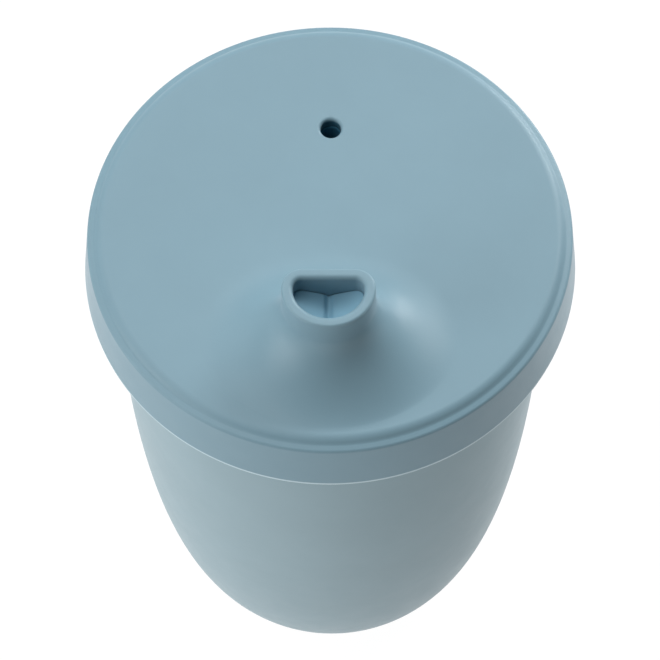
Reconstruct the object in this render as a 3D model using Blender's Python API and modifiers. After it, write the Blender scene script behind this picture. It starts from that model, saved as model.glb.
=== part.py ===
"""Sippy cup: a moulded cup, a screw-on spout lid, the lid's sealing ring and its one-piece valve.

Metres, +Z up. The origin is the centre of the cup's base. The spout is towards -Y and the air hole
towards +Y. The lid is screwed home: a full turn anticlockwise, seen from above, lifts it by THREAD_LEAD.
"""

import math

import bmesh
import bpy

# Cup
CUP_RADIUS = 0.0340
CUP_WALL = 0.0020
CUP_FLOOR = 0.0032
TAPER_START_Z = 0.0821
TAPER_LENGTH = 0.0838
TAPER_POWER = 1.83
TAPER_ROUNDNESS = 5.4
BASE_EDGE = 0.0012
FLOOR_FILLET = 0.0055
FOOT_INNER_RADIUS = 0.0150
FOOT_RECESS = 0.0008

# Lid
RING_Z = 0.1095
LID_RADIUS = 0.0380
LID_EDGE = 0.0012
PLATEAU_RISE = 0.0009
PLATEAU_RADIUS = 0.0354
SHOULDER_WIDTH = 0.0013
SKIRT_HEIGHT = 0.0104
SKIRT_FLARE = 0.0006
SKIRT_BEAD = 0.00015
SKIRT_INNER_RADIUS = 0.0358
PLATE_DEPTH = 0.0016
SEAL_WALL_RADIUS = 0.0316
SEAL_WALL_THICKNESS = 0.0010
SOCKET_DEPTH = 0.0050

# Spout: its duct is a D, half an oval to the front and a flat back with round corners. The flare
# is a hollow curve from its wall out to an oval on the lid, FLARE_REACH away on average.
DUCT_HALF_WIDTH = 0.0054
DUCT_FRONT = 0.0050
DUCT_BACK = 0.0015
SPOUT_Y = -0.01775
SPOUT_HEIGHT = 0.0143
SPOUT_WALL = 0.0017
SPOUT_DRAFT = math.radians(1.5)
SPOUT_LIP = 0.00085
DUCT_LIP = 0.0007
DUCT_DRAFT = 0.0003
FLARE_HEIGHT = 0.0100
FLARE_HALF_WIDTH = 0.0200
FLARE_HALF_DEPTH = 0.0158
FLARE_Y = -0.0188
FLARE_REACH = 0.0110
FLARE_END = math.radians(80)
FLARE_SHELL = 0.0027
CORING_RISE = 0.0026
COLLAR_WALL = 0.0015

# Air hole and the socket under it
VENT_Y = 0.0183
VENT_RADIUS = 0.00165
VENT_SOCKET_RADIUS = 0.0024
VENT_BOSS_RADIUS = 0.0036

# Screw thread: rounded ridges on the cup, and the lid's ridges half a space below them
THREAD_STARTS = 3
THREAD_LEAD = 0.0120
THREAD_RADIUS = 0.00115
THREAD_SPAN = math.radians(70)
THREAD_TURN = math.radians(12)
THREAD_TOP_DEPTH = 0.0047

# Sealing ring
SEAL_THICKNESS = 0.0011
GAP = 0.0003

# Valve
VALLEY_DEPTH = 0.0052
VALLEY_SLOPE = 0.38
MEMBRANE = 0.0009
SLEEVE_WALL = 0.0009
SLIT_WIDTH = 0.0004
SPOUT_SLIT_LENGTH = 0.0030
VENT_SLIT_LENGTH = 0.0016
FLANGE_THICKNESS = 0.0016
FLANGE_RIM = 0.0012
STRAP_WIDTH = 0.0060
STRAP_THICKNESS = 0.0012
VENT_PLUG_BORE = 0.0011
VENT_MEMBRANE = 0.0006

# Heights that follow
PLATEAU_Z = RING_Z + PLATEAU_RISE
PLATE_Z = RING_Z - PLATE_DEPTH
SKIRT_Z = RING_Z - SKIRT_HEIGHT
SOCKET_Z = RING_Z - SOCKET_DEPTH
SPOUT_TOP_Z = PLATEAU_Z + SPOUT_HEIGHT
SEAL_TOP_Z = PLATE_Z - GAP
CUP_RIM_Z = SEAL_TOP_Z - SEAL_THICKNESS - GAP
FLANGE_TOP_Z = SOCKET_Z - GAP
FLANGE_Z = FLANGE_TOP_Z - FLANGE_THICKNESS
VALLEY_Z = SPOUT_TOP_Z - VALLEY_DEPTH
VENT_SOCKET_TOP_Z = PLATE_Z + 0.0004
MARGIN = 0.0010

# Colours (linear) and finishes
LID_COLOUR = (0.27, 0.43, 0.51, 1)
CUP_COLOUR = (0.31, 0.41, 0.45, 1)
SEAL_COLOUR = (0.72, 0.74, 0.74, 1)
VALVE_COLOUR = (0.24, 0.40, 0.48, 1)

TURN_STEPS = 56


def clear_scene():
    for obj in list(bpy.data.objects):
        bpy.data.objects.remove(obj, do_unlink=True)


def new_collection(name):
    collection = bpy.data.collections.new(name)
    bpy.context.scene.collection.children.link(collection)
    return collection


def material(name, colour, roughness):
    made = bpy.data.materials.new(name)
    made.use_nodes = True
    shader = made.node_tree.nodes["Principled BSDF"]
    shader.inputs["Base Color"].default_value = colour
    shader.inputs["Roughness"].default_value = roughness
    shader.inputs["Metallic"].default_value = 0
    return made


def arc(centre, radius, start, end, steps):
    """Points in (radius, height) along a circular arc, both ends included."""
    angles = [start + (end - start) * i / steps for i in range(steps + 1)]
    return [(centre[0] + radius * math.cos(a), centre[1] + radius * math.sin(a)) for a in angles]


def spaced(start, end, steps):
    return [start + (end - start) * i / steps for i in range(steps + 1)]


def object_from_bmesh(name, bm, collection):
    mesh = bpy.data.meshes.new(name)
    bm.to_mesh(mesh)
    bm.free()
    made = bpy.data.objects.new(name, mesh)
    collection.objects.link(made)
    return made


def as_mesh(source, name, collection):
    """Replaces an object by the mesh that it evaluates to, with loose caps welded."""
    graph = bpy.context.evaluated_depsgraph_get()
    mesh = bpy.data.meshes.new_from_object(source.evaluated_get(graph))
    bm = bmesh.new()
    bm.from_mesh(mesh)
    bmesh.ops.remove_doubles(bm, verts=bm.verts, dist=1e-6)
    bm.to_mesh(mesh)
    bm.free()
    made = bpy.data.objects.new(name, mesh)
    made.matrix_world = source.matrix_world.copy()
    collection.objects.link(made)
    bpy.data.objects.remove(source, do_unlink=True)
    return made


def smooth(obj):
    obj.data.shade_smooth()
    obj.data.set_sharp_from_angle(angle=math.radians(35))


def turned(name, profile, collection, closed=False):
    """A profile of (radius, height) points turned about the Z axis."""
    bm = bmesh.new()
    verts = [bm.verts.new((r, 0, z)) for r, z in profile]
    pairs = list(zip(verts, verts[1:]))
    if closed:
        pairs.append((verts[-1], verts[0]))
    for pair in pairs:
        bm.edges.new(pair)
    made = object_from_bmesh(name + "_profile", bm, collection)
    screw = made.modifiers.new("turn", "SCREW")
    screw.axis = "Z"
    screw.steps = TURN_STEPS
    screw.render_steps = TURN_STEPS
    screw.use_merge_vertices = True
    screw.merge_threshold = 1e-6
    bpy.context.view_layer.update()
    made = as_mesh(made, name, collection)
    smooth(made)
    return made


def cylinder(name, radius, low, high, y, collection, segments=24):
    bm = bmesh.new()
    bmesh.ops.create_cone(
        bm, cap_ends=True, segments=segments, radius1=radius, radius2=radius, depth=high - low
    )
    made = object_from_bmesh(name, bm, collection)
    made.location = (0, y, (low + high) / 2)
    smooth(made)
    return made


def box(name, size, centre, collection):
    bm = bmesh.new()
    bmesh.ops.create_cube(bm, size=1)
    bmesh.ops.scale(bm, verts=bm.verts, vec=size)
    made = object_from_bmesh(name, bm, collection)
    made.location = centre
    return made


def spout_outline(offset, z):
    """The duct's D grown by an offset, anticlockwise from above, as points at height z."""
    half_width = DUCT_HALF_WIDTH + offset
    corner = DUCT_BACK + offset
    depth = (DUCT_FRONT + offset) / half_width
    front = [(x, y * depth) for x, y in arc((0, 0), half_width, -math.pi, 0, 21)]
    right = arc((half_width - corner, 0), corner, 0, math.pi / 2, 5)
    left = arc((corner - half_width, 0), corner, math.pi / 2, math.pi, 5)
    return [(x, SPOUT_Y + y, z) for x, y in front + right[1:] + left[:-1]]


def loft(name, outlines, collection, ring=False):
    """Joins outlines of points, given from the bottom up, into one closed solid.

    With ring set, the last outline joins the first, which leaves the middle open.
    """
    bm = bmesh.new()
    loops = [[bm.verts.new(point) for point in outline] for outline in outlines]
    pairs = list(zip(loops, loops[1:]))
    if ring:
        pairs.append((loops[-1], loops[0]))
    for low, high in pairs:
        for i in range(len(low)):
            j = (i + 1) % len(low)
            bm.faces.new((low[i], low[j], high[j], high[i]))
    if not ring:
        bm.faces.new(list(reversed(loops[0])))
        bm.faces.new(loops[-1])
    made = object_from_bmesh(name, bm, collection)
    smooth(made)
    return made


def prism(name, outline, half_depth, y, collection):
    """An outline in (x, z) extruded along Y, half_depth to each side of y."""
    curve = bpy.data.curves.new(name, "CURVE")
    curve.dimensions = "2D"
    curve.fill_mode = "BOTH"
    curve.extrude = half_depth
    spline = curve.splines.new("POLY")
    spline.points.add(len(outline) - 1)
    for point, (x, z) in zip(spline.points, outline):
        point.co = (x, z, 0, 1)
    spline.use_cyclic_u = True
    drawn = bpy.data.objects.new(name + "_outline", curve)
    collection.objects.link(drawn)
    drawn.location = (0, y, 0)
    drawn.rotation_euler = (math.pi / 2, 0, 0)
    bpy.context.view_layer.update()
    return as_mesh(drawn, name, collection)


def thread_ridge(name, wall_radius, top_z, turn, collection):
    """A rounded ridge along a right-handed helix on a wall, which fades out at both ends."""
    steps = 14
    curve = bpy.data.curves.new(name, "CURVE")
    curve.dimensions = "3D"
    curve.twist_mode = "Z_UP"
    curve.bevel_depth = THREAD_RADIUS
    curve.bevel_resolution = 2
    curve.use_fill_caps = True
    spline = curve.splines.new("POLY")
    spline.points.add(steps)
    for i, point in enumerate(spline.points):
        angle = THREAD_SPAN * i / steps
        z = top_z - THREAD_LEAD * (THREAD_SPAN - angle) / math.tau
        x = wall_radius * math.cos(turn + angle)
        y = wall_radius * math.sin(turn + angle)
        point.co = (x, y, z, 1)
        point.radius = min(1, 0.4 + 0.3 * min(i, steps - i))
    drawn = bpy.data.objects.new(name + "_helix", curve)
    collection.objects.link(drawn)
    bpy.context.view_layer.update()
    return as_mesh(drawn, name, collection)


def add_boolean(target, tool, operation):
    step = target.modifiers.new(operation.lower() + "_" + tool.name, "BOOLEAN")
    step.operation = operation
    step.solver = "EXACT"
    step.object = tool
    tool.hide_render = True
    tool.display_type = "WIRE"


def add_thread(target, name, wall_radius, top_z, tools):
    for start in range(THREAD_STARTS):
        turn = THREAD_TURN + math.tau * start / THREAD_STARTS
        ridge = thread_ridge(f"{name}_{start + 1}", wall_radius, top_z, turn, tools)
        add_boolean(target, ridge, "UNION")


def cup_radius(z):
    """The cup's outer radius: straight at the top, and a superellipse that closes in below."""
    drop = max(0.0, TAPER_START_Z - z) / TAPER_LENGTH
    return CUP_RADIUS * (1 - drop**TAPER_POWER) ** (1 / TAPER_ROUNDNESS)


def wall_heights(low):
    """Heights up the cup's wall, closer together at the bottom, where it curves most."""
    rise = TAPER_START_Z - low
    return [low + rise * (1 - math.cos(a)) for a in spaced(0, math.pi / 2, 14)]


def base_edge():
    """The rounded edge between the cup's wall and its foot, which carries on the wall's slope."""
    step = 1e-5
    slope = (cup_radius(BASE_EDGE + step) - cup_radius(BASE_EDGE)) / step
    lean = -math.atan(slope)
    low = BASE_EDGE * (1 + math.sin(lean))
    centre_radius = cup_radius(low) - BASE_EDGE * math.cos(lean)
    return arc((centre_radius, BASE_EDGE), BASE_EDGE, lean, -math.pi / 2, 4)


def cup_profile():
    floor_low = CUP_FLOOR + FLOOR_FILLET
    floor_radius = cup_radius(floor_low) - CUP_WALL - FLOOR_FILLET
    corner = arc((floor_radius, floor_low), FLOOR_FILLET, -math.pi / 2, 0, 5)
    inside = [(cup_radius(z) - CUP_WALL, z) for z in wall_heights(floor_low)[1:]]
    lip = CUP_WALL / 2
    rim = arc((CUP_RADIUS - lip, CUP_RIM_Z - lip), lip, math.pi, 0, 8)
    edge = base_edge()
    outside = [(cup_radius(z), z) for z in reversed(wall_heights(edge[0][1])[1:])]
    foot = [(FOOT_INNER_RADIUS, 0), (FOOT_INNER_RADIUS - FOOT_RECESS, FOOT_RECESS)]
    return [(0, CUP_FLOOR), *corner, *inside, *rim, *outside, *edge, *foot, (0, FOOT_RECESS)]


def make_cup(parts, tools):
    cup = turned("cup", cup_profile(), parts)
    add_thread(cup, "cup_thread", CUP_RADIUS, RING_Z - THREAD_TOP_DEPTH, tools)
    cup.data.materials.append(material("cup_plastic", CUP_COLOUR, 0.55))
    return cup


def shoulder():
    """The soft step from the lid's flat top down to its outer ring."""
    points = []
    for t in spaced(0, 1, 6):
        fall = (1 - math.cos(math.pi * t)) / 2
        points.append((PLATEAU_RADIUS + SHOULDER_WIDTH * t, PLATEAU_Z - PLATEAU_RISE * fall))
    return points


def lid_profile():
    edge = arc((LID_RADIUS - LID_EDGE, RING_Z - LID_EDGE), LID_EDGE, math.pi / 2, 0, 4)
    skirt_radius = LID_RADIUS + SKIRT_FLARE
    bead = [
        (skirt_radius, SKIRT_Z + 4 * SKIRT_BEAD),
        (skirt_radius + SKIRT_BEAD, SKIRT_Z + 2.5 * SKIRT_BEAD),
        (skirt_radius + SKIRT_BEAD, SKIRT_Z + SKIRT_BEAD),
        (skirt_radius, SKIRT_Z),
    ]
    inside = [
        (SKIRT_INNER_RADIUS + GAP, SKIRT_Z),
        (SKIRT_INNER_RADIUS, SKIRT_Z + GAP),
        (SKIRT_INNER_RADIUS, PLATE_Z),
    ]
    seal_wall = [
        (SEAL_WALL_RADIUS, PLATE_Z),
        (SEAL_WALL_RADIUS, SOCKET_Z),
        (SEAL_WALL_RADIUS - SEAL_WALL_THICKNESS, SOCKET_Z),
        (SEAL_WALL_RADIUS - SEAL_WALL_THICKNESS, PLATE_Z),
    ]
    return [(0, PLATEAU_Z), *shoulder(), *edge, *bead, *inside, *seal_wall, (0, PLATE_Z)]


def wall_draft(z):
    return (SPOUT_TOP_Z - z) * math.tan(SPOUT_DRAFT)


def flare_outline(share, z):
    """The outline that lies this share of the way from the spout's wall to the flare's oval foot."""
    offset = SPOUT_WALL + wall_draft(PLATEAU_Z + FLARE_HEIGHT)
    middle_y = SPOUT_Y - (DUCT_FRONT - DUCT_BACK) / 2
    points = []
    for x, y, _ in spout_outline(offset, z):
        turn = math.atan2(y - middle_y, x)
        foot_x = FLARE_HALF_WIDTH * math.cos(turn)
        foot_y = FLARE_Y + FLARE_HALF_DEPTH * math.sin(turn)
        points.append((x + (foot_x - x) * share, y + (foot_y - y) * share, z))
    return points


def spout_outlines():
    """The spout's outside: down into the lid's plate, up the flare and the wall, over the lip."""
    flare = []
    for a in spaced(FLARE_END, 0, 9):
        z = PLATEAU_Z + FLARE_HEIGHT * (1 - math.sin(a))
        flare.append(flare_outline(1 - math.cos(a), z))
    foot_rise = FLARE_HEIGHT * (1 - math.sin(FLARE_END))
    share = 1 - math.cos(FLARE_END) + 2 * foot_rise * math.tan(FLARE_END) / FLARE_HEIGHT
    root = [flare_outline(share, PLATEAU_Z - MARGIN), flare_outline(share, PLATEAU_Z - foot_rise)]
    lip_z = SPOUT_TOP_Z - SPOUT_LIP
    wall_offset = SPOUT_WALL + wall_draft(lip_z)
    lip = arc((wall_offset - SPOUT_LIP, lip_z), SPOUT_LIP, 0, math.pi / 2, 4)
    return root + flare + [spout_outline(*section) for section in lip]


def inside_seal_wall(x, y):
    """The point itself, or the nearest one to it that keeps clear of the wall inside the seal."""
    limit = SEAL_WALL_RADIUS - SEAL_WALL_THICKNESS - GAP
    shrink = min(1, limit / math.hypot(x, y))
    return x * shrink, y * shrink


def coring_outlines():
    """The hollow under the flare, round the valve's socket, which keeps the wall even."""
    low = PLATE_Z - MARGIN
    high = PLATEAU_Z + CORING_RISE
    outer = []
    for z in spaced(PLATE_Z, high, 5):
        drop = (PLATEAU_Z + FLARE_HEIGHT - z) / (FLARE_HEIGHT + FLARE_SHELL)
        share = 1 - (1 + FLARE_SHELL / FLARE_REACH) * math.sqrt(1 - drop**2)
        outer.append([(*inside_seal_wall(x, y), z) for x, y, z in flare_outline(share, z)])
    mouth = [(x, y, low) for x, y, _ in outer[0]]
    inner = [spout_outline(COLLAR_WALL - 0.0002, z) for z in (high, low)]
    return [mouth, *outer, *inner]


def duct_outlines():
    """The drinking duct, from below the socket up through the lip's rounding."""
    lip_z = SPOUT_TOP_Z - DUCT_LIP
    lip = arc((DUCT_LIP, lip_z), DUCT_LIP, math.pi, math.pi / 2, 4)
    sections = [(DUCT_DRAFT, SOCKET_Z - MARGIN), *lip, (DUCT_LIP, SPOUT_TOP_Z + MARGIN)]
    return [spout_outline(*section) for section in sections]


def make_lid(parts, tools):
    lid = turned("lid", lid_profile(), parts)
    add_boolean(lid, loft("spout", spout_outlines(), tools), "UNION")
    add_boolean(lid, loft("flare_coring", coring_outlines(), tools, ring=True), "DIFFERENCE")
    collar_top = PLATEAU_Z + CORING_RISE + MARGIN
    collar = [spout_outline(COLLAR_WALL, z) for z in (SOCKET_Z, collar_top)]
    add_boolean(lid, loft("spout_socket", collar, tools), "UNION")
    add_boolean(lid, loft("duct", duct_outlines(), tools), "DIFFERENCE")
    boss = cylinder("vent_boss", VENT_BOSS_RADIUS, SOCKET_Z, RING_Z, VENT_Y, tools)
    add_boolean(lid, boss, "UNION")
    low = SOCKET_Z - MARGIN
    socket = cylinder("vent_socket", VENT_SOCKET_RADIUS, low, VENT_SOCKET_TOP_Z, VENT_Y, tools)
    add_boolean(lid, socket, "DIFFERENCE")
    hole = cylinder("vent_hole", VENT_RADIUS, SOCKET_Z, PLATEAU_Z + MARGIN, VENT_Y, tools)
    add_boolean(lid, hole, "DIFFERENCE")
    half_space = THREAD_LEAD / THREAD_STARTS / 2
    top_z = RING_Z - THREAD_TOP_DEPTH - half_space
    add_thread(lid, "lid_thread", SKIRT_INNER_RADIUS, top_z, tools)
    lid.data.materials.append(material("lid_plastic", LID_COLOUR, 0.5))
    return lid


def make_seal(parts):
    inner = SEAL_WALL_RADIUS + GAP
    outer = SKIRT_INNER_RADIUS - GAP - 0.0001
    edge = 0.0002
    low = SEAL_TOP_Z - SEAL_THICKNESS
    profile = [
        (inner + edge, SEAL_TOP_Z),
        (outer - edge, SEAL_TOP_Z),
        (outer, SEAL_TOP_Z - edge),
        (outer, low + edge),
        (outer - edge, low),
        (inner + edge, low),
        (inner, low + edge),
        (inner, SEAL_TOP_Z - edge),
    ]
    seal = turned("lid_seal", profile, parts, closed=True)
    seal.data.materials.append(material("seal_silicone", SEAL_COLOUR, 0.6))
    return seal


def valley(name, vertex_z, tools):
    """A wedge whose V-shaped underside has its lowest line at vertex_z."""
    half_width = 0.008
    shoulder_z = vertex_z + VALLEY_SLOPE * half_width
    top_z = SPOUT_TOP_Z + MARGIN
    outline = [
        (0, vertex_z),
        (half_width, shoulder_z),
        (half_width, top_z),
        (-half_width, top_z),
        (-half_width, shoulder_z),
    ]
    return prism(name, outline, half_width, SPOUT_Y, tools)


def make_valve(parts, tools):
    """Silicone: a plug with a slit V membrane for the spout, a strap, and a plug for the air hole."""
    plug_offset = -GAP
    inside_offset = -GAP - SLEEVE_WALL
    plug_top = SPOUT_TOP_Z - VALLEY_DEPTH / 2
    inner_top = plug_top - MEMBRANE
    flange_middle = (FLANGE_Z + FLANGE_TOP_Z) / 2

    plug = [spout_outline(plug_offset, z) for z in (flange_middle, plug_top)]
    valve = loft("valve", plug, parts)
    flange = [spout_outline(FLANGE_RIM, z) for z in (FLANGE_Z, FLANGE_TOP_Z)]
    add_boolean(valve, loft("flange", flange, tools), "UNION")
    strap_size = (STRAP_WIDTH, VENT_Y - SPOUT_Y, STRAP_THICKNESS)
    strap_centre = (0, (VENT_Y + SPOUT_Y) / 2, flange_middle)
    add_boolean(valve, box("strap", strap_size, strap_centre, tools), "UNION")
    disc = cylinder("vent_flange", VENT_BOSS_RADIUS, FLANGE_Z, FLANGE_TOP_Z, VENT_Y, tools)
    add_boolean(valve, disc, "UNION")
    plug_radius = VENT_SOCKET_RADIUS - GAP
    vent_top = VENT_SOCKET_TOP_Z - GAP
    vent_plug = cylinder("vent_plug", plug_radius, flange_middle, vent_top, VENT_Y, tools)
    add_boolean(valve, vent_plug, "UNION")

    add_boolean(valve, valley("valley", VALLEY_Z, tools), "DIFFERENCE")
    slit_centre = (0, SPOUT_Y - (DUCT_FRONT - DUCT_BACK) / 2, VALLEY_Z)
    slit_size = (SLIT_WIDTH, SPOUT_SLIT_LENGTH, 4 * MEMBRANE)
    add_boolean(valve, box("spout_slit", slit_size, slit_centre, tools), "DIFFERENCE")
    inside = [spout_outline(inside_offset, z) for z in (FLANGE_Z - MARGIN, inner_top)]
    hollow = loft("hollow", inside, tools)
    add_boolean(hollow, valley("valley_below", VALLEY_Z - MEMBRANE, tools), "DIFFERENCE")
    add_boolean(valve, hollow, "DIFFERENCE")
    bore_low = FLANGE_Z + VENT_MEMBRANE
    bore = cylinder("vent_bore", VENT_PLUG_BORE, bore_low, vent_top + MARGIN, VENT_Y, tools)
    add_boolean(valve, bore, "DIFFERENCE")
    vent_slit_size = (SLIT_WIDTH, VENT_SLIT_LENGTH, 4 * VENT_MEMBRANE)
    vent_slit = box("vent_slit", vent_slit_size, (0, VENT_Y, FLANGE_Z), tools)
    add_boolean(valve, vent_slit, "DIFFERENCE")
    valve.data.materials.append(material("valve_silicone", VALVE_COLOUR, 0.5))
    return valve


def main():
    clear_scene()
    parts = new_collection("sippy_cup")
    tools = new_collection("cutters")
    make_cup(parts, tools)
    make_lid(parts, tools)
    make_seal(parts)
    make_valve(parts, tools)


main()
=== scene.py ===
"""The looks of a sippy cup: cup, screw-on spout lid, sealing ring and slit valve.

Metres, in the CAD model's frame: +Z up, the spout towards -Y, the origin at the centre of the base.
"""

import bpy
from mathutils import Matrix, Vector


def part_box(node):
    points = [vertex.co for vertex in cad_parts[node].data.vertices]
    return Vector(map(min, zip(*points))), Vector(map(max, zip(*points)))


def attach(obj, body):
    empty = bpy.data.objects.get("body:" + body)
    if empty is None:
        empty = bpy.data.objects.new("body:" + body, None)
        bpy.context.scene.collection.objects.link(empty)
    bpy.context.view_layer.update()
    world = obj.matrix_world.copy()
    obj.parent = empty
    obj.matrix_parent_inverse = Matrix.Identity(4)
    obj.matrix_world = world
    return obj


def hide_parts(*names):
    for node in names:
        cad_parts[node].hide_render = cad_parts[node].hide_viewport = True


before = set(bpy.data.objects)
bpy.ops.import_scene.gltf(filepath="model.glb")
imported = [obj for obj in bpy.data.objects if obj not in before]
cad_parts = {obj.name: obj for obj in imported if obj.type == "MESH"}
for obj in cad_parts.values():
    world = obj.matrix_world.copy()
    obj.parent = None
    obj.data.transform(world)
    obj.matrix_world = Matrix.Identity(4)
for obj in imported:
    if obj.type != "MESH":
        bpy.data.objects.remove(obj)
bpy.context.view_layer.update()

import math

import bmesh
import bpy
from mathutils import Matrix, Vector
from mathutils.geometry import delaunay_2d_cdt

# Camera: where it stands round the object, and how its picture is framed
VIEW_ELEVATION = math.radians(61.1)
VIEW_AZIMUTH = math.radians(0.85)
VIEW_DISTANCE = 0.556
VIEW_LIFT = math.radians(1.58)
VIEW_ROLL = math.radians(-0.45)
VIEW_LENS = 194.56
VIEW_SHIFT = -0.0010
VIEW_RISE = 0.0010

# Boxes of the CAD nodes
LID_LOW, LID_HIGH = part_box("lid")
SEAL_LOW, SEAL_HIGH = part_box("lid_seal")
VALVE_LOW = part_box("valve")[0]
CUP_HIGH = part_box("cup")[1]

# Levels, from those boxes and a few depths
SKIRT_HEIGHT = 0.0104
PLATEAU_RISE = 0.0009
PLATE_DEPTH = 0.0016
SOCKET_DEPTH = 0.0050
VENT_SOCKET_RISE = 0.0004
FLANGE_THICKNESS = 0.0016
SKIRT_Z = LID_LOW.z
SPOUT_TOP_Z = LID_HIGH.z
CUP_RIM_Z = CUP_HIGH.z
RING_Z = SKIRT_Z + SKIRT_HEIGHT
PLATEAU_Z = RING_Z + PLATEAU_RISE
PLATE_Z = RING_Z - PLATE_DEPTH
SOCKET_Z = RING_Z - SOCKET_DEPTH
FLANGE_Z = VALVE_LOW.z
FLANGE_TOP_Z = FLANGE_Z + FLANGE_THICKNESS
VENT_SOCKET_TOP_Z = PLATE_Z + VENT_SOCKET_RISE

# The gap between neighbouring pieces, and the small rounding that many edges share
GAP = 0.0003
ROUNDING = 0.0003

# Cup
CUP_RADIUS = 0.0342
CUP_WALL = 0.0020
CUP_FLOOR = 0.0032
TAPER_START_Z = 0.0821
TAPER_LENGTH = 0.0838
TAPER_POWER = 1.83
TAPER_ROUNDNESS = 5.4
BASE_EDGE = 0.0012
FLOOR_FILLET = 0.0055
FOOT_INNER_RADIUS = 0.0150
FOOT_RECESS = 0.0008
FOOT_EDGE_WIDTH = 0.0002
FOOT_EDGE_DEPTH = 0.00006
RIM_STEP = 0.0001
HUB_RADIUS = 0.0008

# Lid
LID_RADIUS = 0.0379
LID_EDGE = 0.0006
PLATEAU_RADIUS = 0.0351
SHOULDER_WIDTH = 0.0017
SHOULDER_POWER = 2.5
RING_FALL = 0.00010
RING_EDGE_START = 0.45 * math.pi
SHOULDER_FILLET = 0.0003
SKIRT_RADIUS = LID_HIGH.x
SKIRT_FOOT = 0.0008
# Painted highlight: how high above the skirt's foot a pale line is painted round the lid, standing in
# for the edge's reflection
PAINTED_HIGHLIGHT_HEIGHT = 0.0010
SKIRT_INNER_RADIUS = 0.0358
SEAL_WALL_OUTER = 0.0316
SEAL_WALL_INNER = 0.0306
LID_TOP_GRID = 0.0022
LID_UNDER_GRID = 0.0026

# Spout
DUCT_HALF_WIDTH = 0.0054
DUCT_FRONT = 0.0050
DUCT_BACK = 0.0015
SPOUT_Y = -0.01775
SPOUT_WALL = 0.0017
SPOUT_DRAFT = math.radians(1.5)
LIP_OUTSIDE = 0.0004
LIP_INSIDE = 0.0007
FLARE_HEIGHT = 0.0100
FLARE_HALF_WIDTH = 0.0200
FLARE_HALF_DEPTH = 0.0158
FLARE_Y = -0.0188
FLARE_REACH = 0.0110
FLARE_BACK_POWER = 1.15
FLARE_FRONT_POWER = 0.64
FLARE_SHELL = 0.0027
CORING_RISE = 0.0026
COLLAR_WALL = 0.0015
COLLAR_TAPER = 0.0001

# Air hole
VENT_Y = 0.0183
VENT_RADIUS = 0.00165
VENT_ROUNDING = 0.0005
VENT_SOCKET_RADIUS = 0.0024
VENT_BOSS_RADIUS = 0.0036
VENT_CHAMFER = 0.0002

# Screw thread
THREAD_STARTS = 3
THREAD_LEAD = 0.0120
THREAD_RADIUS = 0.00115
THREAD_SPAN = math.radians(70)
THREAD_TURN = math.radians(12)
THREAD_TOP_DEPTH = 0.0047
THREAD_FADE = math.radians(9)

# Sealing ring
SEAL_EDGE = 0.00035

# Valve
VALLEY_DEPTH = 0.0052
VALLEY_SLOPE = 0.38
CREASE_ROUNDING = 0.00025
GROOVE_HALF_WIDTH = 0.00075
GROOVE_DEPTH = 0.00050
GROOVE_POWER = 1.5
VALVE_FIT = 0.00004
MEMBRANE = 0.0009
SLEEVE_WALL = 0.0009
PLUG_ROUNDING = 0.00025
PLUG_TOP_GRID = 0.00022
PLUG_UNDER_GRID = 0.0005
FLANGE_RIM = 0.0012
FLANGE_EDGE = 0.0004
STRAP_HALF_WIDTH = 0.0030
STRAP_THICKNESS = 0.0012
VENT_PLUG_BORE = 0.0016
VENT_MEMBRANE = 0.0006
VENT_HUB_RADIUS = 0.0002
VENT_FLOOR_RING = 0.0006
VENT_UNDER_RING = 0.0016

# How finely surfaces are built: points in a turn, and the triangular grid that fills level areas
TURN_COUNT = 192
VENT_COUNT = 48
GRID_ROW = 0.866
GRID_CLEARANCE = 0.6
SHARP_ANGLE = math.radians(40)
NORMAL_WEIGHT = 80

PIECES = bpy.data.collections.new("sippy_cup_looks")
STAGE = bpy.data.collections.new("stage")
bpy.context.scene.collection.children.link(PIECES)
bpy.context.scene.collection.children.link(STAGE)


def spaced(start, end, steps):
    return [start + (end - start) * i / steps for i in range(steps + 1)]


def arc(centre, radius, start, end, steps):
    """Points in (radius, height) along a circular arc, both ends included."""
    return [
        (centre[0] + radius * math.cos(a), centre[1] + radius * math.sin(a))
        for a in spaced(start, end, steps)
    ]


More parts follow.
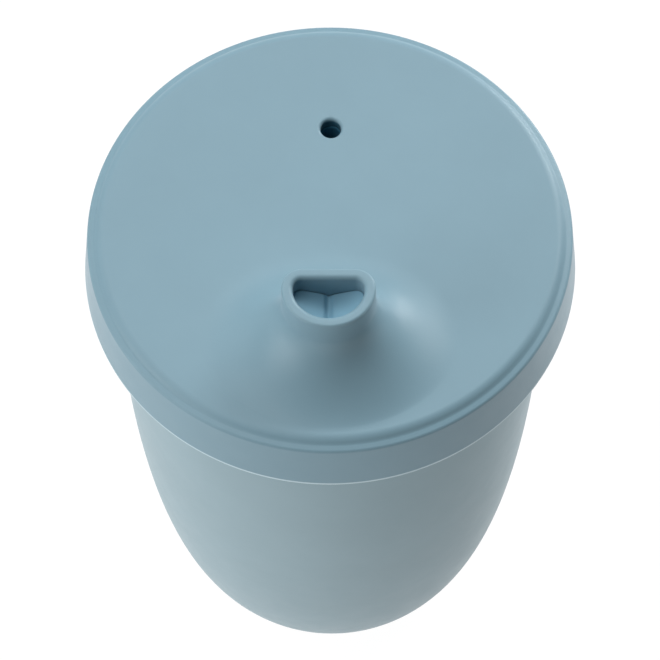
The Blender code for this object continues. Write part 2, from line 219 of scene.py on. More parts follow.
class Shell:
    """A closed surface that is put together from loops of points."""

    def __init__(self):
        self.points = []
        self.faces = []

    def loop(self, points):
        first = len(self.points)
        self.points.extend(points)
        return list(range(first, len(self.points)))

    def bridge(self, one, other):
        count = len(one)
        for i in range(count):
            j = (i + 1) % count
            self.faces.append((one[i], one[j], other[j], other[i]))

    def chain(self, loops):
        """Adds loops of equal count, joins each to the next, and returns the first and the last."""
        added = [self.loop(points) for points in loops]
        for one, other in zip(added, added[1:]):
            self.bridge(one, other)
        return added[0], added[-1]

    def close(self, loop):
        """Closes a loop with one point in its middle."""
        centre = sum((Vector(self.points[i]) for i in loop), Vector()) / len(loop)
        middle = self.loop([tuple(centre)])[0]
        for i in range(len(loop)):
            self.faces.append((loop[i], loop[(i + 1) % len(loop)], middle))

    def fill(self, outer, holes, spacing, height=None):
        """Fills the level area inside one loop and outside the others, on a grid of this spacing."""
        loops = [outer, *holes]
        owner = [(which, i) for which, loop in enumerate(loops) for i in loop]
        flat = [Vector(self.points[i][:2]) for _, i in owner]
        edges = []
        for loop in loops:
            first = len(edges)
            edges.extend((first + i, first + (i + 1) % len(loop)) for i in range(len(loop)))
        level = self.points[outer[0]][2]
        reach = int(max(max(abs(p.x), abs(p.y)) for p in flat) / spacing) + 1
        inside = []
        for row in range(-reach, reach + 1):
            for column in range(-reach, reach + 1):
                spot = Vector(((column + 0.5 * (row % 2)) * spacing, row * spacing * GRID_ROW))
                if self.clear(spot, flat, spacing * GRID_CLEARANCE) and self.within(spot, loops):
                    inside.append(spot)
        found = delaunay_2d_cdt(flat + inside, edges, [], 1, 1e-9)
        points, faces, origins = found[0], found[2], found[3]
        index = []
        for point, origin in zip(points, origins):
            kept = [o for o in origin if o < len(owner)]
            if kept:
                index.append(owner[kept[0]])
            else:
                z = level if height is None else height(point.x, point.y)
                index.append((-1, self.loop([(point.x, point.y, z)])[0]))
        for face in faces:
            owners = {index[i][0] for i in face}
            if len(owners) == 1 and owners.pop() > 0:
                continue
            self.faces.append(tuple(index[i][1] for i in face))

    @staticmethod
    def clear(spot, points, distance):
        """Whether a spot is farther than this distance from every point."""
        return all((spot - p).length_squared > distance**2 for p in points)

    def within(self, spot, loops):
        """Whether a spot lies inside the first loop and outside the rest."""
        return self.holds(loops[0], spot) and not any(self.holds(hole, spot) for hole in loops[1:])

    def holds(self, loop, spot):
        """Whether a spot lies inside a loop, seen from above."""
        inside = False
        for i in range(len(loop)):
            ax, ay = self.points[loop[i]][:2]
            bx, by = self.points[loop[i - 1]][:2]
            if (ay > spot.y) != (by > spot.y):
                if spot.x < (bx - ax) * (spot.y - ay) / (by - ay) + ax:
                    inside = not inside
        return inside

    def make(self, name):
        mesh = bpy.data.meshes.new(name)
        mesh.from_pydata(self.points, [], self.faces)
        bm = bmesh.new()
        bm.from_mesh(mesh)
        bmesh.ops.recalc_face_normals(bm, faces=bm.faces)
        bm.to_mesh(mesh)
        bm.free()
        mesh.shade_smooth()
        mesh.set_sharp_from_angle(angle=SHARP_ANGLE)
        made = bpy.data.objects.new(name, mesh)
        PIECES.objects.link(made)
        weighted = made.modifiers.new("weighted", "WEIGHTED_NORMAL")
        weighted.keep_sharp = True
        weighted.weight = NORMAL_WEIGHT
        return made


def circle(radius, z, y=0.0, count=TURN_COUNT):
    step = math.tau / count
    return [
        (radius * math.cos(i * step), y + radius * math.sin(i * step), z) for i in range(count)
    ]


def thread_bulge(angle, z, top_z):
    """How far the thread's ridges stand out of a wall at this angle and height."""
    for start in range(THREAD_STARTS):
        along = (angle - THREAD_TURN - math.tau * start / THREAD_STARTS) % math.tau
        if along > THREAD_SPAN:
            continue
        middle = top_z - THREAD_LEAD * (THREAD_SPAN - along) / math.tau
        end = min(along, THREAD_SPAN - along, THREAD_FADE) / THREAD_FADE
        size = THREAD_RADIUS * math.sin(end * math.pi / 2) ** 0.5
        off = abs(z - middle)
        if off < size:
            return math.sqrt(size**2 - off**2)
    return 0.0


def threaded_circle(radius, z, top_z, way):
    """A circle on a threaded wall: way is 1 where the ridges stand outwards, -1 inwards."""
    points = []
    for i in range(TURN_COUNT):
        angle = math.tau * i / TURN_COUNT
        r = radius + way * thread_bulge(angle, z, top_z)
        points.append((r * math.cos(angle), r * math.sin(angle), z))
    return points


def circles(profile):
    return [circle(r, z) for r, z in profile]


# The cup


def cup_radius(z):
    """The cup's outer radius: straight at the top, and a superellipse that closes in below."""
    drop = max(0.0, TAPER_START_Z - z) / TAPER_LENGTH
    return CUP_RADIUS * (1 - drop**TAPER_POWER) ** (1 / TAPER_ROUNDNESS)


def make_cup():
    shell = Shell()
    top_z = RING_Z - THREAD_TOP_DEPTH
    neck_z = top_z - 2 * THREAD_RADIUS - THREAD_LEAD * THREAD_SPAN / math.tau
    lip = CUP_WALL / 2
    rim = arc((CUP_RADIUS - lip, CUP_RIM_Z - lip), lip, math.pi, 0, 14)
    rise = 1e-5
    slope = (cup_radius(BASE_EDGE + rise) - cup_radius(BASE_EDGE)) / rise
    lean = -math.atan(slope)
    low = BASE_EDGE * (1 + math.sin(lean))
    edge_radius = cup_radius(low) - BASE_EDGE * math.cos(lean)
    edge = arc((edge_radius, BASE_EDGE), BASE_EDGE, lean, -math.pi / 2, 8)
    floor_low = CUP_FLOOR + FLOOR_FILLET
    floor_radius = cup_radius(floor_low) - CUP_WALL - FLOOR_FILLET

    heights = [low + (TAPER_START_Z - low) * (1 - math.cos(a)) for a in spaced(0, math.pi / 2, 60)]
    inner_heights = [
        floor_low + (TAPER_START_Z - floor_low) * (1 - math.cos(a))
        for a in spaced(0, math.pi / 2, 48)
    ]
    loops = circles([(r, CUP_FLOOR) for r in spaced(HUB_RADIUS, floor_radius * 0.98, 10)])
    corner = arc((floor_radius, floor_low), FLOOR_FILLET, -math.pi / 2, 0, 14)
    loops += circles(corner)
    loops += circles([(cup_radius(z) - CUP_WALL, z) for z in inner_heights[1:]])
    loops += circles(rim)
    threaded = spaced(CUP_RIM_Z - lip - RIM_STEP, neck_z, 44)
    loops += [threaded_circle(CUP_RADIUS, z, top_z, 1) for z in threaded]
    loops += circles([(CUP_RADIUS, z) for z in spaced(neck_z, TAPER_START_Z, 8)[1:]])
    loops += circles([(cup_radius(z), z) for z in reversed(heights[1:-1])])
    loops += circles(edge)
    foot = [
        (FOOT_INNER_RADIUS, 0),
        (FOOT_INNER_RADIUS - FOOT_EDGE_WIDTH, FOOT_EDGE_DEPTH),
        (FOOT_INNER_RADIUS - 3 * FOOT_EDGE_WIDTH, FOOT_RECESS - FOOT_EDGE_DEPTH),
        (FOOT_INNER_RADIUS - 4 * FOOT_EDGE_WIDTH, FOOT_RECESS),
    ]
    loops += circles(foot)
    loops += circles([(r, FOOT_RECESS) for r in spaced(foot[-1][0] * 0.96, HUB_RADIUS, 8)])
    first, last = shell.chain(loops)
    shell.close(first)
    shell.close(last)
    return shell.make("cup_shell")


# The lid


def outline(offset, z):
    """The duct's D grown by an offset, anticlockwise from above: an oval front, a flat back."""
    half_width = DUCT_HALF_WIDTH + offset
    corner = DUCT_BACK + offset
    depth = (DUCT_FRONT + offset) / half_width
    front = [(x, y * depth) for x, y in arc((0, 0), half_width, -math.pi, 0, 60)]
    right = arc((half_width - corner, 0), corner, 0, math.pi / 2, 16)
    left = arc((corner - half_width, 0), corner, math.pi / 2, math.pi, 16)
    back = [(x, corner) for x in spaced(half_width - corner, corner - half_width, 14)]
    joined = front + right[1:] + back[1:-1] + left[:-1]
    return [(x, SPOUT_Y + y, z) for x, y in joined]


def outlines(profile):
    return [outline(offset, z) for offset, z in profile]


def wall_draft(z):
    return (SPOUT_TOP_Z - z) * math.tan(SPOUT_DRAFT)


def duct_draft(z):
    """How far the duct's wall has opened at a height, from its lip down to the socket."""
    top = SPOUT_TOP_Z - LIP_INSIDE
    return GAP * (top - z) / (top - SOCKET_Z)


def flare_outline(share, z):
    """The outline that lies this share of the way from the spout's wall to the flare's oval foot."""
    offset = SPOUT_WALL + wall_draft(PLATEAU_Z + FLARE_HEIGHT)
    middle_y = SPOUT_Y - (DUCT_FRONT - DUCT_BACK) / 2
    points = []
    for x, y, _ in outline(offset, z):
        turn = math.atan2(y - middle_y, x)
        foot_x = FLARE_HALF_WIDTH * math.cos(turn)
        foot_y = FLARE_Y + FLARE_HALF_DEPTH * math.sin(turn)
        points.append((x + (foot_x - x) * share, y + (foot_y - y) * share, z))
    return points


def coring_outline(z):
    """The flare's inner surface, kept clear of the wall inside the seal."""
    drop = (PLATEAU_Z + FLARE_HEIGHT - z) / (FLARE_HEIGHT + FLARE_SHELL)
    share = 1 - (1 + FLARE_SHELL / FLARE_REACH) * math.sqrt(1 - drop**2)
    limit = SEAL_WALL_INNER - GAP
    points = []
    for x, y, _ in flare_outline(share, z):
        shrink = min(1, limit / math.hypot(x, y))
        points.append((x * shrink, y * shrink, z))
    return points


def spout_loops():
    """From the flare's foot up over the lip, down the duct, and out again under the flare."""
    loops = []
    foot = flare_outline(1, PLATEAU_Z)
    back = max(y for _, y, _ in foot)
    fullness = []
    for _, y, _ in foot:
        forward = (back - y) / (2 * FLARE_HALF_DEPTH)
        fullness.append(FLARE_BACK_POWER + (FLARE_FRONT_POWER - FLARE_BACK_POWER) * forward)
    for a in spaced(math.pi / 2, 0, 36):
        height = 1 - math.sin(a)
        points = flare_outline(1 - math.cos(a), PLATEAU_Z)
        loops.append(
            [(x, y, z + FLARE_HEIGHT * height**q) for (x, y, z), q in zip(points, fullness)]
        )
    flare_top = PLATEAU_Z + FLARE_HEIGHT
    outer_z = SPOUT_TOP_Z - LIP_OUTSIDE
    loops += outlines([(SPOUT_WALL + wall_draft(z), z) for z in spaced(flare_top, outer_z, 6)[1:]])
    loops += outlines(arc((SPOUT_WALL - LIP_OUTSIDE, outer_z), LIP_OUTSIDE, 0, math.pi / 2, 9)[1:])
    lip_z = SPOUT_TOP_Z - LIP_INSIDE
    loops += outlines(arc((LIP_INSIDE, lip_z), LIP_INSIDE, math.pi / 2, math.pi, 12))
    low_z = SOCKET_Z + ROUNDING
    loops += outlines([(duct_draft(z), z) for z in spaced(lip_z, low_z, 14)[1:]])
    loops += outlines(arc((GAP + ROUNDING, low_z), ROUNDING, math.pi, 1.5 * math.pi, 5)[1:])
    loops += outlines(arc((COLLAR_WALL - ROUNDING, low_z), ROUNDING, 1.5 * math.pi, math.tau, 5))
    ceiling = PLATEAU_Z + CORING_RISE
    loops += outlines([(COLLAR_WALL - COLLAR_TAPER, z) for z in spaced(low_z, ceiling, 8)[1:]])
    loops += [coring_outline(z) for z in spaced(ceiling, PLATE_Z, 8)]
    return loops


def vent_loops():
    """From the air hole's rounded rim down into the socket, and out round its boss."""
    step = VENT_CHAMFER
    profile = arc(
        (VENT_RADIUS + VENT_ROUNDING, PLATEAU_Z - VENT_ROUNDING),
        VENT_ROUNDING,
        math.pi / 2,
        math.pi,
        9,
    )
    profile += [(VENT_RADIUS, z) for z in spaced(profile[-1][1], VENT_SOCKET_TOP_Z, 5)[1:]]
    profile += [(r, VENT_SOCKET_TOP_Z) for r in spaced(VENT_RADIUS, VENT_SOCKET_RADIUS, 3)[1:]]
    profile += [(VENT_SOCKET_RADIUS, z) for z in spaced(VENT_SOCKET_TOP_Z, SOCKET_Z + step, 5)[1:]]
    profile += [(VENT_SOCKET_RADIUS + step, SOCKET_Z), (VENT_BOSS_RADIUS - step, SOCKET_Z)]
    profile += [(VENT_BOSS_RADIUS, z) for z in spaced(SOCKET_Z + step, PLATE_Z, 4)]
    return [circle(r, z, VENT_Y, VENT_COUNT) for r, z in profile]


def shoulder():
    """The step from the lid's flat top down to its outer ring: soft above, a small fillet below."""
    points = []
    for t in spaced(0, 1, 18):
        drop = (PLATEAU_Z - RING_Z) * t**SHOULDER_POWER
        points.append((PLATEAU_RADIUS + SHOULDER_WIDTH * t, PLATEAU_Z - drop))
    foot_radius = points[-1][0]
    points = [point for point in points if point[0] < foot_radius - SHOULDER_FILLET]
    start = Vector(points[-1])
    corner = Vector((foot_radius, RING_Z))
    end = Vector((foot_radius + SHOULDER_FILLET, RING_Z))
    for t in spaced(0, 1, 6)[1:]:
        one, two = start.lerp(corner, t), corner.lerp(end, t)
        points.append(tuple(one.lerp(two, t)))
    return points


def rim_loops():
    """From the flat top out over the ring, down the skirt, up inside it, and round the seal's wall."""
    half_space = THREAD_LEAD / THREAD_STARTS / 2
    top_z = RING_Z - THREAD_TOP_DEPTH - half_space
    edge_z = RING_Z - RING_FALL - LID_EDGE
    edge = arc((LID_RADIUS - LID_EDGE, edge_z), LID_EDGE, RING_EDGE_START, 0, 14)
    foot = arc(
        (SKIRT_RADIUS - SKIRT_FOOT, SKIRT_Z + SKIRT_FOOT), SKIRT_FOOT, 0, -math.pi / 2, 14
    )
    skirt = []
    for t in spaced(0, 1, 10)[1:-1]:
        z = edge[-1][1] + (foot[0][1] - edge[-1][1]) * t
        skirt.append((LID_RADIUS + (SKIRT_RADIUS - LID_RADIUS) * t, z))
    small = ROUNDING
    loops = circles(shoulder() + edge + skirt + foot)
    loops += circles(
        arc((SKIRT_INNER_RADIUS + small, SKIRT_Z + small), small, 1.5 * math.pi, math.pi, 5)
    )
    for z in spaced(SKIRT_Z + small, PLATE_Z - small, 46)[1:]:
        loops.append(threaded_circle(SKIRT_INNER_RADIUS, z, top_z, -1))
    loops += circles(arc((SKIRT_INNER_RADIUS - small, PLATE_Z - small), small, 0, math.pi / 2, 4)[1:])
    under = spaced(SKIRT_INNER_RADIUS - small, SEAL_WALL_OUTER, 4)
    loops += circles([(r, PLATE_Z) for r in under[1:]])
    middle = (SEAL_WALL_OUTER + SEAL_WALL_INNER) / 2
    half = SEAL_WALL_OUTER - middle
    loops += circles([(SEAL_WALL_OUTER, z) for z in spaced(PLATE_Z, SOCKET_Z + half, 3)[1:]])
    loops += circles(arc((middle, SOCKET_Z + half), half, 0, -math.pi, 8)[1:])
    loops += circles([(SEAL_WALL_INNER, z) for z in spaced(SOCKET_Z + half, PLATE_Z, 3)[1:]])
    return loops


def make_lid():
    shell = Shell()
    rim_top, rim_under = shell.chain(rim_loops())
    spout_top, spout_under = shell.chain(spout_loops())
    vent_top, vent_under = shell.chain(vent_loops())
    shell.fill(rim_top, [spout_top, vent_top], LID_TOP_GRID)
    shell.fill(rim_under, [spout_under, vent_under], LID_UNDER_GRID)
    return shell.make("lid_shell")


# The sealing ring


def make_seal():
    shell = Shell()
    inner = SEAL_WALL_OUTER + GAP
    outer = SEAL_HIGH.x
    edge = SEAL_EDGE
    low, high = SEAL_LOW.z, SEAL_HIGH.z
    profile = [
        *arc((outer - edge, high - edge), edge, math.pi / 2, 0, 5),
        *arc((outer - edge, low + edge), edge, 0, -math.pi / 2, 5),
        *arc((inner + edge, low + edge), edge, -math.pi / 2, -math.pi, 5),
        *arc((inner + edge, high - edge), edge, math.pi, math.pi / 2, 5),
    ]
    first, last = shell.chain(circles(profile))
    shell.bridge(last, first)
    return shell.make("seal_ring")


# The valve


def valley(x):
    """The height of the valve's top over its middle line: two slopes, and a groove for the slit."""
    soft = math.sqrt(x**2 + CREASE_ROUNDING**2) - CREASE_ROUNDING
    near = max(0.0, 1 - (x / GROOVE_HALF_WIDTH) ** 2)
    return SPOUT_TOP_Z - VALLEY_DEPTH + VALLEY_SLOPE * soft - GROOVE_DEPTH * near**GROOVE_POWER


def make_plug():
    """The spout's plug: a D-shaped sleeve with a flange below and the slit V across its top."""
    shell = Shell()
    offset = duct_draft(SPOUT_TOP_Z - VALLEY_DEPTH) - VALVE_FIT
    foot_offset = duct_draft(SOCKET_Z) - VALVE_FIT

    def at_top(offset, drop):
        return [(x, y, valley(x) - drop) for x, y, _ in outline(offset, 0)]

    loops = []
    for a in spaced(0, math.pi / 2, 4):
        inset = PLUG_ROUNDING * (1 - math.sin(a))
        loops.append(at_top(offset - inset, PLUG_ROUNDING * (1 - math.cos(a))))
    wall_top = loops[-1]
    wall_foot = outline(foot_offset, FLANGE_TOP_Z)
    for t in spaced(0, 1, 12)[1:]:
        loops.append([Vector(a).lerp(Vector(b), t) for a, b in zip(wall_top, wall_foot)])
    edge = FLANGE_EDGE
    loops += outlines(arc((FLANGE_RIM - edge, FLANGE_TOP_Z - edge), edge, math.pi / 2, 0, 5))
    loops += outlines(arc((FLANGE_RIM - edge, FLANGE_Z + edge), edge, 0, -math.pi / 2, 5))
    inside = -GAP - SLEEVE_WALL
    low_z = FLANGE_Z + ROUNDING
    loops += outlines(arc((inside + ROUNDING, low_z), ROUNDING, 1.5 * math.pi, math.pi, 4))
    under = [(x, y, valley(x) - MEMBRANE) for x, y, _ in outline(inside, 0)]
    for t in spaced(0, 1, 10)[1:]:
        loops.append([(x, y, low_z + (z - low_z) * t) for x, y, z in under])
    top, bottom = shell.chain(loops)
    shell.fill(top, [], PLUG_TOP_GRID, lambda x, y: valley(x))
    shell.fill(bottom, [], PLUG_UNDER_GRID, lambda x, y: valley(x) - MEMBRANE)
    return shell.make("valve_plug")


def make_vent_plug():
    """The air hole's plug: a flange, a short tube that goes up into the socket, and a thin floor."""
    shell = Shell()
    flange = VENT_BOSS_RADIUS
    plug = VENT_SOCKET_RADIUS - GAP
    high = VENT_SOCKET_TOP_Z - GAP
    small = ROUNDING
    floor_z = FLANGE_Z + VENT_MEMBRANE
    profile = [
        (VENT_HUB_RADIUS, floor_z),
        (VENT_FLOOR_RING, floor_z),
        *arc((VENT_PLUG_BORE - small, floor_z + small), small, -math.pi / 2, 0, 4),
        *[(VENT_PLUG_BORE, z) for z in spaced(floor_z + small, high - small, 4)[1:]],
        *arc((VENT_PLUG_BORE + small, high - small), small, math.pi, math.pi / 2, 4)[1:],
        *arc((plug - small, high - small), small, math.pi / 2, 0, 4),
        *[(plug, z) for z in spaced(high - small, FLANGE_TOP_Z, 4)[1:]],
        *arc((flange - small, FLANGE_TOP_Z - small), small, math.pi / 2, 0, 4),
        *arc((flange - small, FLANGE_Z + small), small, 0, -math.pi / 2, 4),
        (VENT_UNDER_RING, FLANGE_Z),
        (VENT_HUB_RADIUS, FLANGE_Z),
    ]
    first, last = shell.chain([circle(r, z, VENT_Y, VENT_COUNT) for r, z in profile])
    shell.close(first)
    shell.close(last)
    return shell.make("vent_plug")


def make_strap():
    """The strap that joins the two plugs: flat, with rounded edges."""
    shell = Shell()
    half = STRAP_THICKNESS / 2
    middle_z = (FLANGE_Z + FLANGE_TOP_Z) / 2
    side = STRAP_HALF_WIDTH - half
    section = [(side + r, z) for r, z in arc((0, 0), half, -math.pi / 2, math.pi / 2, 8)]
    section += [(r - side, z) for r, z in arc((0, 0), half, math.pi / 2, 1.5 * math.pi, 8)]
    loops = []
    for y in spaced(SPOUT_Y, VENT_Y, 12):
        loops.append([(x, y, middle_z + z) for x, z in section])
    first, last = shell.chain(loops)
    shell.close(first)
    shell.close(last)
    return shell.make("strap")


def make_valve():
    """One moulded piece: the spout's plug, the strap and the air hole's plug."""
    valve = make_plug()
    valve.name = "valve_body"
    bm = bmesh.new()
    bm.from_mesh(valve.data)
    for extra in (make_strap(), make_vent_plug()):
        bm.from_mesh(extra.data)
        bpy.data.objects.remove(extra, do_unlink=True)
    bm.to_mesh(valve.data)
    bm.free()
    return valve


# Materials

LID_COLOUR = (0.193, 0.312, 0.376)
CUP_COLOUR = (0.290, 0.398, 0.443)
SEAL_COLOUR = (0.72, 0.74, 0.74)
VALVE_COLOUR = (0.225, 0.425, 0.545)
# Painted highlight: the pale colour painted along the foot of the lid's skirt
PAINTED_HIGHLIGHT_COLOUR = (0.480, 0.620, 0.675, 1)
# Painted shade: darkening multiplied into the surfaces inside the air hole, standing in for its depth
PAINTED_BORE_SHADE = (0.20, 0.42, 0.50, 1)

# How softly the painted highlight at the skirt's foot and the painted shade in the air hole begin, and
# how far the valve's painted shade stays inside its own plug's wall
PAINTED_HIGHLIGHT_SOFTNESS = 0.00006
PAINTED_SHADE_FADE = 0.0004
PAINTED_SHADE_MARGIN = 0.0001

# Noise in every moulded surface: its scale, detail and roughness
CLOUD_NOISE = (70, 4, 0.55)
PATCH_NOISE = (260, 3, 0.6)
WAVE_NOISE = (45, 2, 0.4)
GRAIN_NOISE = (2600, 2, 0.6)
FLOOR_NOISE = (3, 2, 0.5)

# Bumps: strength, and depth in metres
WAVE_BUMP = (0.35, 0.00006)
GRAIN_BUMP = (0.5, 0.000012)

CLOUD_CONTRAST = 0.02
ROUGHNESS_SPREAD = 0.035
PLASTIC_IOR = 1.47
SHEEN_ROUGHNESS = 0.25


class Graph:
    """A material's node tree, with short calls for the nodes that these materials use."""

    def __init__(self, name):
        self.material = bpy.data.materials.new(name)
        self.material.use_nodes = True
        self.tree = self.material.node_tree
        self.shader = self.tree.nodes["Principled BSDF"]
        self.position = self.tree.nodes.new("ShaderNodeTexCoord").outputs["Object"]

    def link(self, source, target):
        self.tree.links.new(source, target)

    def noise(self, scale, detail, roughness):
        node = self.tree.nodes.new("ShaderNodeTexNoise")
        node.inputs["Scale"].default_value = scale
        node.inputs["Detail"].default_value = detail
        node.inputs["Roughness"].default_value = roughness
        self.link(self.position, node.inputs["Vector"])
        return node.outputs["Fac"]

    def ramp(self, factor, low, high, start=0.3, end=0.7):
        """Maps a factor onto the range from low to high, colours or numbers alike."""
        node = self.tree.nodes.new("ShaderNodeValToRGB")
        first, last = node.color_ramp.elements
        first.position = start
        last.position = end
        first.color = low if isinstance(low, tuple) else (low, low, low, 1)
        last.color = high if isinstance(high, tuple) else (high, high, high, 1)
        self.link(factor, node.inputs["Fac"])
        return node.outputs["Color"]

    def height(self):
        node = self.tree.nodes.new("ShaderNodeSeparateXYZ")
        self.link(self.position, node.inputs["Vector"])
        return node.outputs["Z"]

    def fade(self, value, start, end):
        """0 up to the start, 1 past the end, and straight between; the end may be the lower one."""
        node = self.tree.nodes.new("ShaderNodeMapRange")
        node.inputs["From Min"].default_value = start
        node.inputs["From Max"].default_value = end
        self.link(value, node.inputs["Value"])
        return node.outputs["Result"]

    def calculate(self, operation, one, two):
        """One value against another, which may be a number."""
        node = self.tree.nodes.new("ShaderNodeMath")
        node.operation = operation
        self.link(one, node.inputs[0])
        if isinstance(two, float):
            node.inputs[1].default_value = two
        else:
            self.link(two, node.inputs[1])
        return node.outputs["Value"]

    def painted_shade_mask(self, radius, low, high):
        """A mask for the painted shade: what lies within a radius of the air hole's axis, fading in
        from high down.
        """
        shift = self.tree.nodes.new("ShaderNodeVectorMath")
        shift.operation = "MULTIPLY_ADD"
        shift.inputs[1].default_value = (1, 1, 0)
        shift.inputs[2].default_value = (0, -VENT_Y, 0)
        self.link(self.position, shift.inputs[0])
        length = self.tree.nodes.new("ShaderNodeVectorMath")
        length.operation = "LENGTH"
        self.link(shift.outputs["Vector"], length.inputs[0])
        near = self.calculate("LESS_THAN", length.outputs["Value"], radius)
        above = self.calculate("GREATER_THAN", self.height(), low)
        deep = self.fade(self.height(), high, high - PAINTED_SHADE_FADE)
        return self.calculate("MULTIPLY", self.calculate("MULTIPLY", near, above), deep)

    def mixed(self, factor, paint, other, blend="MIX"):
        node = self.tree.nodes.new("ShaderNodeMix")
        node.data_type = "RGBA"
        node.blend_type = blend
        first, second = [socket for socket in node.inputs if socket.type == "RGBA"]
        self.link(factor, node.inputs[0])
        self.link(paint, first)
        second.default_value = other
        return next(socket for socket in node.outputs if socket.type == "RGBA")

    def bump(self, layers):
        """Stacks bumps, each a factor, a strength and a depth in metres, onto the shader's normal."""
        below = None
        for factor, strength, distance in layers:
            node = self.tree.nodes.new("ShaderNodeBump")
            node.inputs["Strength"].default_value = strength
            node.inputs["Distance"].default_value = distance
            self.link(factor, node.inputs["Height"])
            if below is not None:
                self.link(below, node.inputs["Normal"])
            below = node.outputs["Normal"]
        self.link(below, self.shader.inputs["Normal"])


def tone(colour, gain):
    return tuple(c * gain for c in colour) + (1,)


def moulded(name, colour, roughness, gloss, sheen, highlight_top=None, painted_shade_zone=None):
    """A matte moulded surface: a faint cloudiness, a fine even grain and slight long waves.

    Below the pale line's height the surface gets a painted highlight, standing in for the reflection
    on the skirt's foot. The last argument gives the radius and the lowest height of the surfaces round
    the air hole, which get painted shade for the hole's depth.
    """
    graph = Graph(name)
    cloud = graph.noise(*CLOUD_NOISE)
    paint = graph.ramp(cloud, tone(colour, 1 - CLOUD_CONTRAST), tone(colour, 1 + CLOUD_CONTRAST))
    # Painted highlight: a pale band painted round the foot of the skirt
    if highlight_top is not None:
        below = graph.fade(graph.height(), highlight_top + PAINTED_HIGHLIGHT_SOFTNESS, highlight_top - PAINTED_HIGHLIGHT_SOFTNESS)
        paint = graph.mixed(below, paint, PAINTED_HIGHLIGHT_COLOUR)
    # Painted shade: the surfaces round the air hole painted darker
    if painted_shade_zone is not None:
        inside = graph.painted_shade_mask(*painted_shade_zone, PLATEAU_Z - VENT_ROUNDING)
        paint = graph.mixed(inside, paint, PAINTED_BORE_SHADE, "MULTIPLY")
    graph.link(paint, graph.shader.inputs["Base Color"])
    patch = graph.noise(*PATCH_NOISE)
    graph.link(
        graph.ramp(patch, roughness - ROUGHNESS_SPREAD, roughness + ROUGHNESS_SPREAD),
        graph.shader.inputs["Roughness"],
    )
    graph.bump(
        [
            (graph.noise(*WAVE_NOISE), *WAVE_BUMP),
            (graph.noise(*GRAIN_NOISE), *GRAIN_BUMP),
        ]
    )
    graph.shader.inputs["IOR"].default_value = PLASTIC_IOR
    graph.shader.inputs["Specular IOR Level"].default_value = gloss
    graph.shader.inputs["Sheen Weight"].default_value = sheen
    graph.shader.inputs["Sheen Roughness"].default_value = SHEEN_ROUGHNESS
    return graph.material


def dress(obj, material, body, node):
    obj.data.materials.clear()
    obj.data.materials.append(material)
    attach(obj, body)
    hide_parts(node)


dress(
    make_cup(),
    moulded("cup_plastic_look", CUP_COLOUR, roughness=0.36, gloss=0.05, sheen=0.04),
    "cup",
    "cup",
)
dress(
    make_lid(),
    moulded(
        "lid_plastic_look",
        LID_COLOUR,
        roughness=0.38,
        gloss=0.27,
        sheen=0.18,
        # painted highlight along the foot of the skirt
        highlight_top=SKIRT_Z + PAINTED_HIGHLIGHT_HEIGHT,
        # painted shade inside the air hole
        painted_shade_zone=(VENT_SOCKET_RADIUS, SOCKET_Z),
    ),
    "lid",
    "lid",
)
dress(
    make_seal(),
    moulded("seal_silicone_look", SEAL_COLOUR, roughness=0.60, gloss=0.3, sheen=0.1),
    "seal",
    "lid_seal",
)
dress(
    make_valve(),
    moulded(
        "valve_silicone_look",
        VALVE_COLOUR,
        roughness=0.55,
        gloss=0.2,
        sheen=0.1,
        # painted shade inside the air hole's plug
        painted_shade_zone=(VENT_SOCKET_RADIUS - GAP - PAINTED_SHADE_MARGIN, FLANGE_TOP_Z),
    ),
    "valve",
    "valve",
)


# Stage, light and camera

FLOOR_SIZE = 6.0
FLOOR_DROP = 0.0001
FLOOR_SHADES = ((0.045, 0.045, 0.045, 1), (0.055, 0.055, 0.055, 1))
FLOOR_GLOW = 0.98
WORLD_GLOW = 0.03
BACKDROP_RADIUS = 4.0
BACKDROP_GLOW = 1.0
LIGHT_AIM_Z = 0.08

# Area lights: name, azimuth and elevation in degrees (azimuth 0 is the camera's side), distance,
# size and power
LIGHTS = [
    ("key", 142, 12, 1.6, 0.9, 14.5),
    ("key_top", 138, 43, 1.6, 0.9, 12.4),
    ("left_low", 294, 11, 1.6, 1.4, 18.0),
    ("left_top", 284, 66, 1.6, 1.2, 9.2),
    ("back_top", 190, 56, 1.6, 1.2, 9.6),
    ("left_back", 240, 36, 1.6, 0.8, 2.5),
]


def add_floor():
    bm = bmesh.new()
    bmesh.ops.create_grid(bm, x_segments=2, y_segments=2, size=FLOOR_SIZE / 2)
    mesh = bpy.data.meshes.new("floor")
    bm.to_mesh(mesh)
    bm.free()
    floor = bpy.data.objects.new("floor", mesh)
    STAGE.objects.link(floor)
    floor.location = (0, 0, -FLOOR_DROP)
    graph = Graph("floor_white")
    cloud = graph.noise(*FLOOR_NOISE)
    graph.link(graph.ramp(cloud, *FLOOR_SHADES), graph.shader.inputs["Base Color"])
    graph.shader.inputs["Roughness"].default_value = 0.9
    graph.shader.inputs["Specular IOR Level"].default_value = 0.0
    graph.shader.inputs["Emission Color"].default_value = (1, 1, 1, 1)
    graph.shader.inputs["Emission Strength"].default_value = FLOOR_GLOW
    floor.data.materials.append(graph.material)


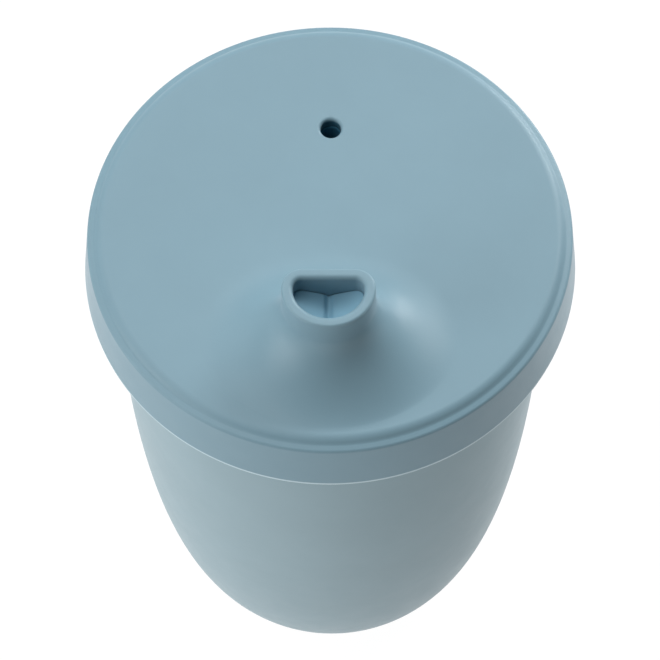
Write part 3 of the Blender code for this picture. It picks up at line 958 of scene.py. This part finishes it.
def add_backdrop():
    """A white dome that fills the view past the floor and neither lights nor shades anything."""
    bm = bmesh.new()
    bmesh.ops.create_uvsphere(bm, u_segments=48, v_segments=24, radius=BACKDROP_RADIUS)
    mesh = bpy.data.meshes.new("backdrop")
    bm.to_mesh(mesh)
    bm.free()
    dome = bpy.data.objects.new("backdrop", mesh)
    STAGE.objects.link(dome)
    graph = Graph("backdrop_white")
    graph.shader.inputs["Base Color"].default_value = (0, 0, 0, 1)
    graph.shader.inputs["Specular IOR Level"].default_value = 0.0
    graph.shader.inputs["Emission Color"].default_value = (1, 1, 1, 1)
    graph.shader.inputs["Emission Strength"].default_value = BACKDROP_GLOW
    dome.data.materials.append(graph.material)
    dome.visible_diffuse = False
    dome.visible_glossy = False
    dome.visible_transmission = False
    dome.visible_volume_scatter = False
    dome.visible_shadow = False


def add_light(name, azimuth, elevation, distance, size, power):
    data = bpy.data.lights.new(name, "AREA")
    data.shape = "DISK"
    data.size = size
    data.energy = power
    light = bpy.data.objects.new(name, data)
    STAGE.objects.link(light)
    turn, rise = math.radians(azimuth), math.radians(elevation)
    away = Vector(
        (math.sin(turn) * math.cos(rise), -math.cos(turn) * math.cos(rise), math.sin(rise))
    )
    light.location = Vector((0, 0, LIGHT_AIM_Z)) + away * distance
    light.rotation_euler = away.to_track_quat("Z", "Y").to_euler()


def add_world():
    world = bpy.data.worlds.new("studio")
    world.use_nodes = True
    background = world.node_tree.nodes["Background"]
    background.inputs["Color"].default_value = (1, 1, 1, 1)
    background.inputs["Strength"].default_value = WORLD_GLOW
    bpy.context.scene.world = world


def add_camera():
    data = bpy.data.cameras.new("camera")
    data.sensor_width = 36
    data.lens = VIEW_LENS
    data.shift_x = VIEW_SHIFT
    data.shift_y = VIEW_RISE
    data.clip_start = 0.01
    data.clip_end = 20
    camera = bpy.data.objects.new("camera", data)
    STAGE.objects.link(camera)
    back = VIEW_DISTANCE * math.cos(VIEW_ELEVATION)
    camera.location = (
        back * math.sin(VIEW_AZIMUTH),
        -back * math.cos(VIEW_AZIMUTH),
        RING_Z + VIEW_DISTANCE * math.sin(VIEW_ELEVATION),
    )
    turn = Matrix.Rotation(VIEW_AZIMUTH, 3, "Z")
    tilt = Matrix.Rotation(math.pi / 2 - VIEW_ELEVATION - VIEW_LIFT, 3, "X")
    roll = Matrix.Rotation(VIEW_ROLL, 3, "Z")
    camera.rotation_euler = (turn @ tilt @ roll).to_euler()
    bpy.context.scene.camera = camera


add_floor()
add_backdrop()
add_world()
for light in LIGHTS:
    add_light(*light)
add_camera()
bpy.context.scene.view_settings.view_transform = "Standard"
